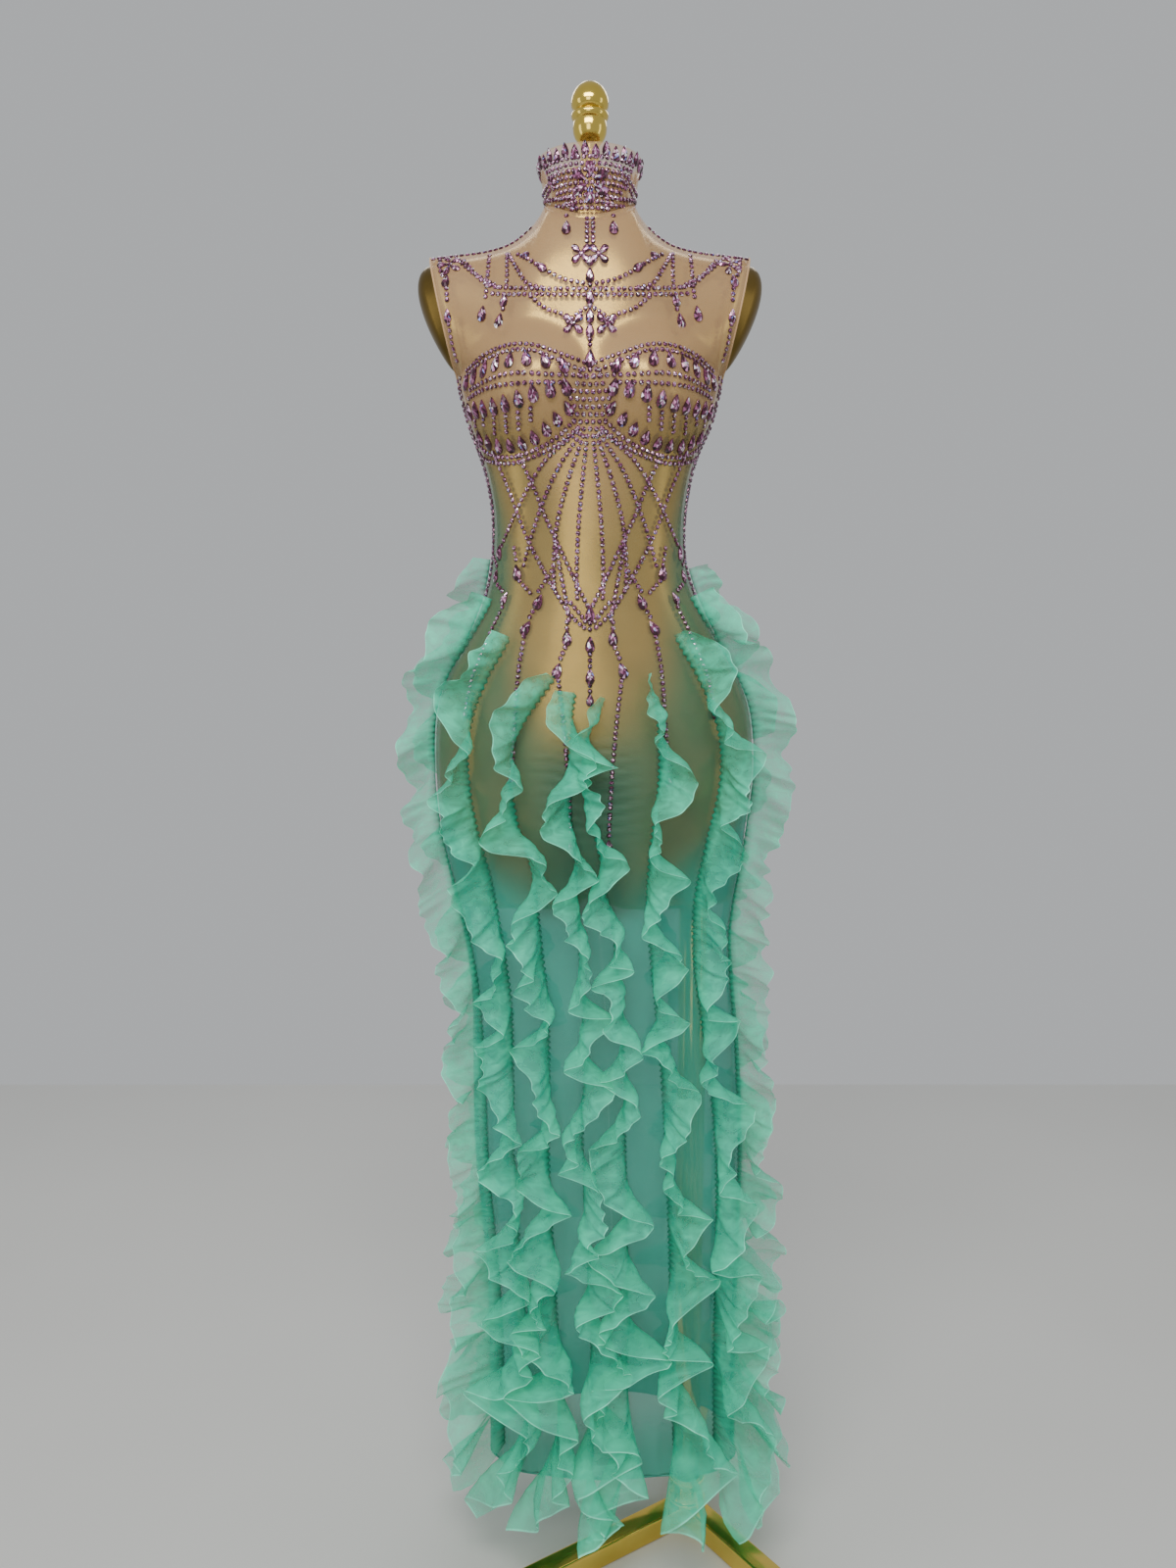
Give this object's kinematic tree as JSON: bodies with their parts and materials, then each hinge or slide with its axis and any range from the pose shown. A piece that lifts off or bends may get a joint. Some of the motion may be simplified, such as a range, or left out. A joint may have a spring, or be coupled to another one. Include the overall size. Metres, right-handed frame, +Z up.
{
  "type": "rhinestone stage dress on dress form stand",
  "caption": "Floor-length sleeveless high-neck stage dress of sheer net, set with pear stones and trimmed with upright organza frills, on a gold limbless dress form and stand.",
  "frame": {"origin": "centre of the stand hub's underside on the floor", "axes": "+Z up, the dress faces -Y, +X is the wearer's left"},
  "size_m": [0.5652, 0.6901, 1.6563],
  "materials": {
    "net": "sheer stretch net",
    "collar_net": "net crusted with stones",
    "organza": "crisp sheer organza",
    "form": "polished gold",
    "stand": "polished gold plate",
    "zip": "coil zip",
    "slider": "polished"
  },
  "bodies": {
    "dress_on_stand": {"front_panel": "net", "back_panel_left": "net", "back_panel_right": "net", "collar": "collar_net", "frill_centre_left": "organza", "frill_centre_right": "organza", "frill_inner_left": "organza", "frill_inner_right": "organza", "frill_front_left": "organza", "frill_front_right": "organza", "frill_side_left": "organza", "frill_side_right": "organza", "frill_side_back_left": "organza", "frill_side_back_right": "organza", "frill_back_left": "organza", "frill_back_right": "organza", "frill_inner_back_left": "organza", "frill_inner_back_right": "organza", "dress_form": "form", "finial": "stand", "hub": "stand", "pole": "stand", "leg_front_left": "stand", "leg_front_right": "stand", "leg_back": "stand", "zip_coil": "zip", "zip_slider": "slider"},
    "pull_tab": {"zip_pull_tab": "slider"}
  },
  "joints": [
    {"name": "pull_tab_hinge", "type": "hinge", "parent": "dress_on_stand", "child": "pull_tab", "pos_m": [-0.119, 0.06253, 1.56], "axis": [1, 0, 0], "range_deg": [0, 150]}
  ]
}
